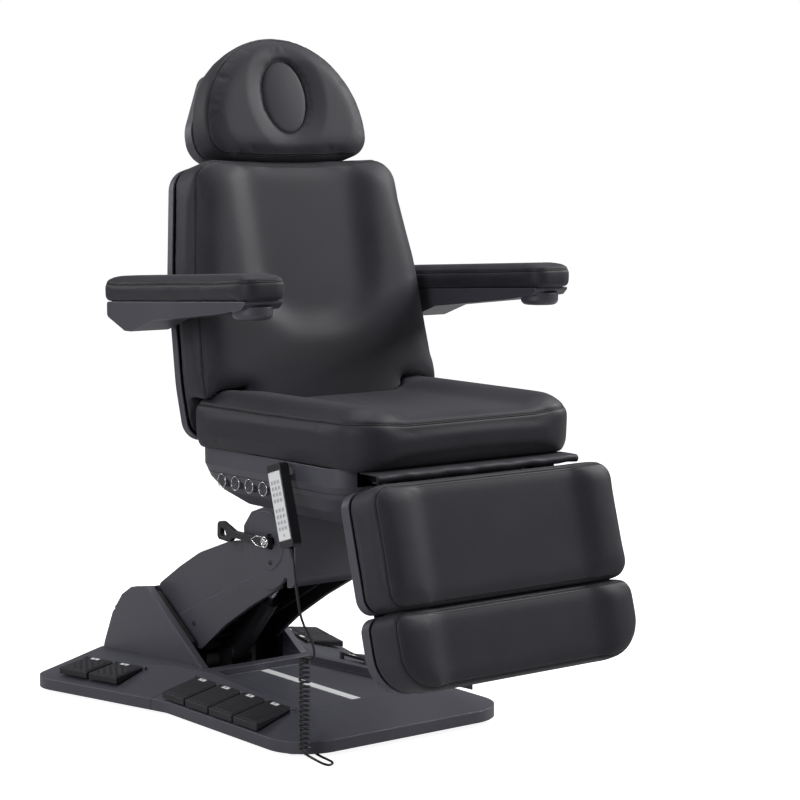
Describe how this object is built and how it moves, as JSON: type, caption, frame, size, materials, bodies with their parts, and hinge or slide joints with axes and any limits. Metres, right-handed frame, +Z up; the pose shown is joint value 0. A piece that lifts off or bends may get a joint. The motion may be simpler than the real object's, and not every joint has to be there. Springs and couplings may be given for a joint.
{
  "type": "spa treatment chair",
  "caption": "Electric spa treatment chair with reclining back, oval-dish headrest, level armrests, leg rest with sliding foot pad, lifting arm, pedal base and corded handset.",
  "frame": {"origin": "middle of the chair's outline on the floor", "axes": "+Z up, -Y to the front where the feet point, X across, +X to the sitter's left"},
  "size_m": [0.85, 1.4419, 1.4676],
  "materials": {
    "upholstery": "satin grained vinyl",
    "shell_plastic": "satin",
    "base_plastic": "satin",
    "black_plastic": "satin",
    "button_plastic": "gloss",
    "pedal_rubber": "ribbed",
    "foot_rubber": "matt",
    "frame_steel": "powder coat",
    "chrome": "polished",
    "handset_plastic": "satin",
    "cord_rubber": "satin"
  },
  "bodies": {
    "base": {"base_frame": "frame_steel", "base_cover": "base_plastic", "base_feet": "foot_rubber", "pylon_cover": "base_plastic", "mains_inlet": "black_plastic"},
    "pedal_left_1": {"pedal_left_1": "pedal_rubber"},
    "pedal_left_2": {"pedal_left_2": "pedal_rubber"},
    "pedal_left_3": {"pedal_left_3": "pedal_rubber"},
    "pedal_left_4": {"pedal_left_4": "pedal_rubber"},
    "pedal_left_5": {"pedal_left_5": "pedal_rubber"},
    "pedal_left_6": {"pedal_left_6": "pedal_rubber"},
    "pedal_right_1": {"pedal_right_1": "pedal_rubber"},
    "pedal_right_2": {"pedal_right_2": "pedal_rubber"},
    "pedal_right_3": {"pedal_right_3": "pedal_rubber"},
    "pedal_right_4": {"pedal_right_4": "pedal_rubber"},
    "pedal_right_5": {"pedal_right_5": "pedal_rubber"},
    "pedal_right_6": {"pedal_right_6": "pedal_rubber"},
    "arm": {"arm_frame": "frame_steel", "arm_top_cover": "shell_plastic", "arm_side_covers": "shell_plastic"},
    "tie": {"tie_bars": "frame_steel"},
    "motor": {"lift_motor": "black_plastic"},
    "rod": {"lift_rod": "chrome"},
    "head": {"head_core": "frame_steel", "head_cover": "shell_plastic"},
    "lever": {"swivel_lever": "black_plastic"},
    "swivel": {"swivel_plate": "frame_steel"},
    "seat": {"seat_frame": "frame_steel", "seat_cushion": "upholstery", "seat_shell": "shell_plastic", "seat_flap": "upholstery", "handset_hook": "chrome", "seat_motors": "black_plastic"},
    "button_1": {"side_button_1": "button_plastic"},
    "button_2": {"side_button_2": "button_plastic"},
    "button_3": {"side_button_3": "button_plastic"},
    "button_4": {"side_button_4": "button_plastic"},
    "back": {"back_frame": "frame_steel", "back_shell": "shell_plastic", "back_cushion": "upholstery"},
    "posts": {"headrest_bracket": "chrome"},
    "knob": {"headrest_knob": "black_plastic"},
    "headrest": {"headrest_shell": "shell_plastic", "headrest_cushion": "upholstery"},
    "plug": {"headrest_plug": "upholstery"},
    "armrest_left": {"armrest_tray_left": "shell_plastic", "armrest_pad_left": "upholstery"},
    "armrest_right": {"armrest_tray_right": "shell_plastic", "armrest_pad_right": "upholstery"},
    "leg_rest": {"leg_frame": "frame_steel", "leg_shell": "shell_plastic", "leg_cushion": "upholstery"},
    "foot_pad": {"foot_rails": "chrome", "foot_shell": "shell_plastic", "foot_cushion": "upholstery"},
    "handset": {"handset": "handset_plastic", "cord_drop": "cord_rubber", "cord_curl": "cord_rubber", "cord_tail": "cord_rubber"}
  },
  "joints": [
    {"name": "press_left_1", "type": "hinge", "parent": "base", "child": "pedal_left_1", "pos_m": [0.2, -0.154, 0.07354], "axis": [0, 1, 0], "range_deg": [0, 3], "stiffness_Nm_per_rad": 8, "springref_deg": -2.01},
    {"name": "press_left_2", "type": "hinge", "parent": "base", "child": "pedal_left_2", "pos_m": [0.2, -0.062, 0.07354], "axis": [0, 1, 0], "range_deg": [0, 3], "stiffness_Nm_per_rad": 8, "springref_deg": -2.01},
    {"name": "press_left_3", "type": "hinge", "parent": "base", "child": "pedal_left_3", "pos_m": [0.2, 0.03, 0.07354], "axis": [0, 1, 0], "range_deg": [0, 3], "stiffness_Nm_per_rad": 8, "springref_deg": -2.01},
    {"name": "press_left_4", "type": "hinge", "parent": "base", "child": "pedal_left_4", "pos_m": [0.2, 0.122, 0.07354], "axis": [0, 1, 0], "range_deg": [0, 3], "stiffness_Nm_per_rad": 8, "springref_deg": -2.01},
    {"name": "press_left_5", "type": "hinge", "parent": "base", "child": "pedal_left_5", "pos_m": [0.23897, 0.37958, 0.06743], "axis": [0.2641, 0.9645, 0], "range_deg": [0, 3], "stiffness_Nm_per_rad": 8, "springref_deg": -2.01},
    {"name": "press_left_6", "type": "hinge", "parent": "base", "child": "pedal_left_6", "pos_m": [0.26327, 0.46831, 0.06743], "axis": [0.2641, 0.9645, 0], "range_deg": [0, 3], "stiffness_Nm_per_rad": 8, "springref_deg": -2.01},
    {"name": "press_right_1", "type": "hinge", "parent": "base", "child": "pedal_right_1", "pos_m": [-0.2, -0.154, 0.07354], "axis": [0, -1, 0], "range_deg": [0, 3], "stiffness_Nm_per_rad": 8, "springref_deg": -2.01},
    {"name": "press_right_2", "type": "hinge", "parent": "base", "child": "pedal_right_2", "pos_m": [-0.2, -0.062, 0.07354], "axis": [0, -1, 0], "range_deg": [0, 3], "stiffness_Nm_per_rad": 8, "springref_deg": -2.01},
    {"name": "press_right_3", "type": "hinge", "parent": "base", "child": "pedal_right_3", "pos_m": [-0.2, 0.03, 0.07354], "axis": [0, -1, 0], "range_deg": [0, 3], "stiffness_Nm_per_rad": 8, "springref_deg": -2.01},
    {"name": "press_right_4", "type": "hinge", "parent": "base", "child": "pedal_right_4", "pos_m": [-0.2, 0.122, 0.07354], "axis": [0, -1, 0], "range_deg": [0, 3], "stiffness_Nm_per_rad": 8, "springref_deg": -2.01},
    {"name": "press_right_5", "type": "hinge", "parent": "base", "child": "pedal_right_5", "pos_m": [-0.23897, 0.37958, 0.06743], "axis": [0.2641, -0.9645, 0], "range_deg": [0, 3], "stiffness_Nm_per_rad": 8, "springref_deg": -2.01},
    {"name": "press_right_6", "type": "hinge", "parent": "base", "child": "pedal_right_6", "pos_m": [-0.26327, 0.46831, 0.06743], "axis": [0.2641, -0.9645, 0], "range_deg": [0, 3], "stiffness_Nm_per_rad": 8, "springref_deg": -2.01},
    {"name": "lift", "type": "hinge", "parent": "base", "child": "arm", "pos_m": [0, 0.43, 0.165], "axis": [-1, 0, 0], "range_deg": [-10, 21], "deforming": ["cord_drop", "cord_curl", "cord_tail"]},
    {"name": "tie_swing", "type": "hinge", "parent": "base", "child": "tie", "pos_m": [0, 0.388, 0.103], "axis": [-1, 0, 0], "range_deg": [-10, 21]},
    {"name": "motor_swing", "type": "hinge", "parent": "base", "child": "motor", "pos_m": [0, 0.3, 0.084], "axis": [-1, 0, 0], "range_deg": [-10, 21]},
    {"name": "rod_stroke", "type": "slide", "parent": "motor", "child": "rod", "axis": [0, -0.678, 0.7351], "range_m": [-0.027, 0.0558]},
    {"name": "head_level", "type": "hinge", "parent": "arm", "child": "head", "pos_m": [0, 0.015, 0.39], "axis": [-1, 0, 0], "range_deg": [-21, 10]},
    {"name": "lever_turn", "type": "hinge", "parent": "head", "child": "lever", "pos_m": [0, -0.003, 0.39], "axis": [-1, 0, 0], "range_deg": [0, 25]},
    {"name": "swivel_turn", "type": "hinge", "parent": "head", "child": "swivel", "pos_m": [0, -0.025, 0.466], "axis": [0, 0, 1], "range_deg": [-90, 90], "deforming": ["cord_drop", "cord_curl", "cord_tail"]},
    {"name": "seat_tilt", "type": "hinge", "parent": "swivel", "child": "seat", "pos_m": [0, -0.025, 0.545], "axis": [-1, 0, 0], "range_deg": [0, 15], "deforming": ["cord_drop", "cord_curl", "cord_tail"]},
    {"name": "button_press_1", "type": "slide", "parent": "seat", "child": "button_1", "axis": [1, 0, 0], "range_m": [0, 0.0025], "stiffness_N_per_m": 400, "springref_m": -0.002},
    {"name": "button_press_2", "type": "slide", "parent": "seat", "child": "button_2", "axis": [1, 0, 0], "range_m": [0, 0.0025], "stiffness_N_per_m": 400, "springref_m": -0.002},
    {"name": "button_press_3", "type": "slide", "parent": "seat", "child": "button_3", "axis": [1, 0, 0], "range_m": [0, 0.0025], "stiffness_N_per_m": 400, "springref_m": -0.002},
    {"name": "button_press_4", "type": "slide", "parent": "seat", "child": "button_4", "axis": [1, 0, 0], "range_m": [0, 0.0025], "stiffness_N_per_m": 400, "springref_m": -0.002},
    {"name": "back_recline", "type": "hinge", "parent": "seat", "child": "back", "pos_m": [0, 0.045, 0.592], "axis": [-1, 0, 0], "range_deg": [0, 76]},
    {"name": "post_slide", "type": "slide", "parent": "back", "child": "posts", "axis": [0, 0.2079, 0.9781], "range_m": [0, 0.09]},
    {"name": "knob_turn", "type": "hinge", "parent": "posts", "child": "knob", "pos_m": [-0.105, 0.168, 1.203], "axis": [1, 0, 0], "range_deg": [0, 180]},
    {"name": "headrest_tilt", "type": "hinge", "parent": "posts", "child": "headrest", "pos_m": [0, 0.168, 1.203], "axis": [-1, 0, 0], "range_deg": [0, 30]},
    {"name": "plug_out", "type": "slide", "parent": "headrest", "child": "plug", "axis": [0, -0.9703, 0.2419], "range_m": [0, 0.08]},
    {"name": "armrest_left_level", "type": "hinge", "parent": "back", "child": "armrest_left", "pos_m": [0, 0.09397, 0.88011], "axis": [-1, 0, 0], "range_deg": [-76, 0]},
    {"name": "armrest_right_level", "type": "hinge", "parent": "back", "child": "armrest_right", "pos_m": [0, 0.09397, 0.88011], "axis": [-1, 0, 0], "range_deg": [-76, 0]},
    {"name": "leg_raise", "type": "hinge", "parent": "seat", "child": "leg_rest", "pos_m": [0, -0.53, 0.59], "axis": [-1, 0, 0], "range_deg": [0, 72], "deforming": ["seat_flap"]},
    {"name": "foot_slide", "type": "slide", "parent": "leg_rest", "child": "foot_pad", "axis": [0, -0.2672, -0.9636], "range_m": [0, 0.11]},
    {"name": "handset_off", "type": "slide", "parent": "seat", "child": "handset", "axis": [-1, 0, 0], "range_m": [0, 0.15], "deforming": ["cord_drop", "cord_curl", "cord_tail"]}
  ],
  "couplings": [
    {"joint": "tie_swing", "follows": "lift", "ratio": 1},
    {"joint": "motor_swing", "follows": "lift", "ratio": 1},
    {"joint": "rod_stroke", "follows": "lift", "m_per_rad": 0.151},
    {"joint": "head_level", "follows": "lift", "ratio": -1},
    {"joint": "armrest_left_level", "follows": "back_recline", "ratio": -1},
    {"joint": "armrest_right_level", "follows": "back_recline", "ratio": -1}
  ]
}
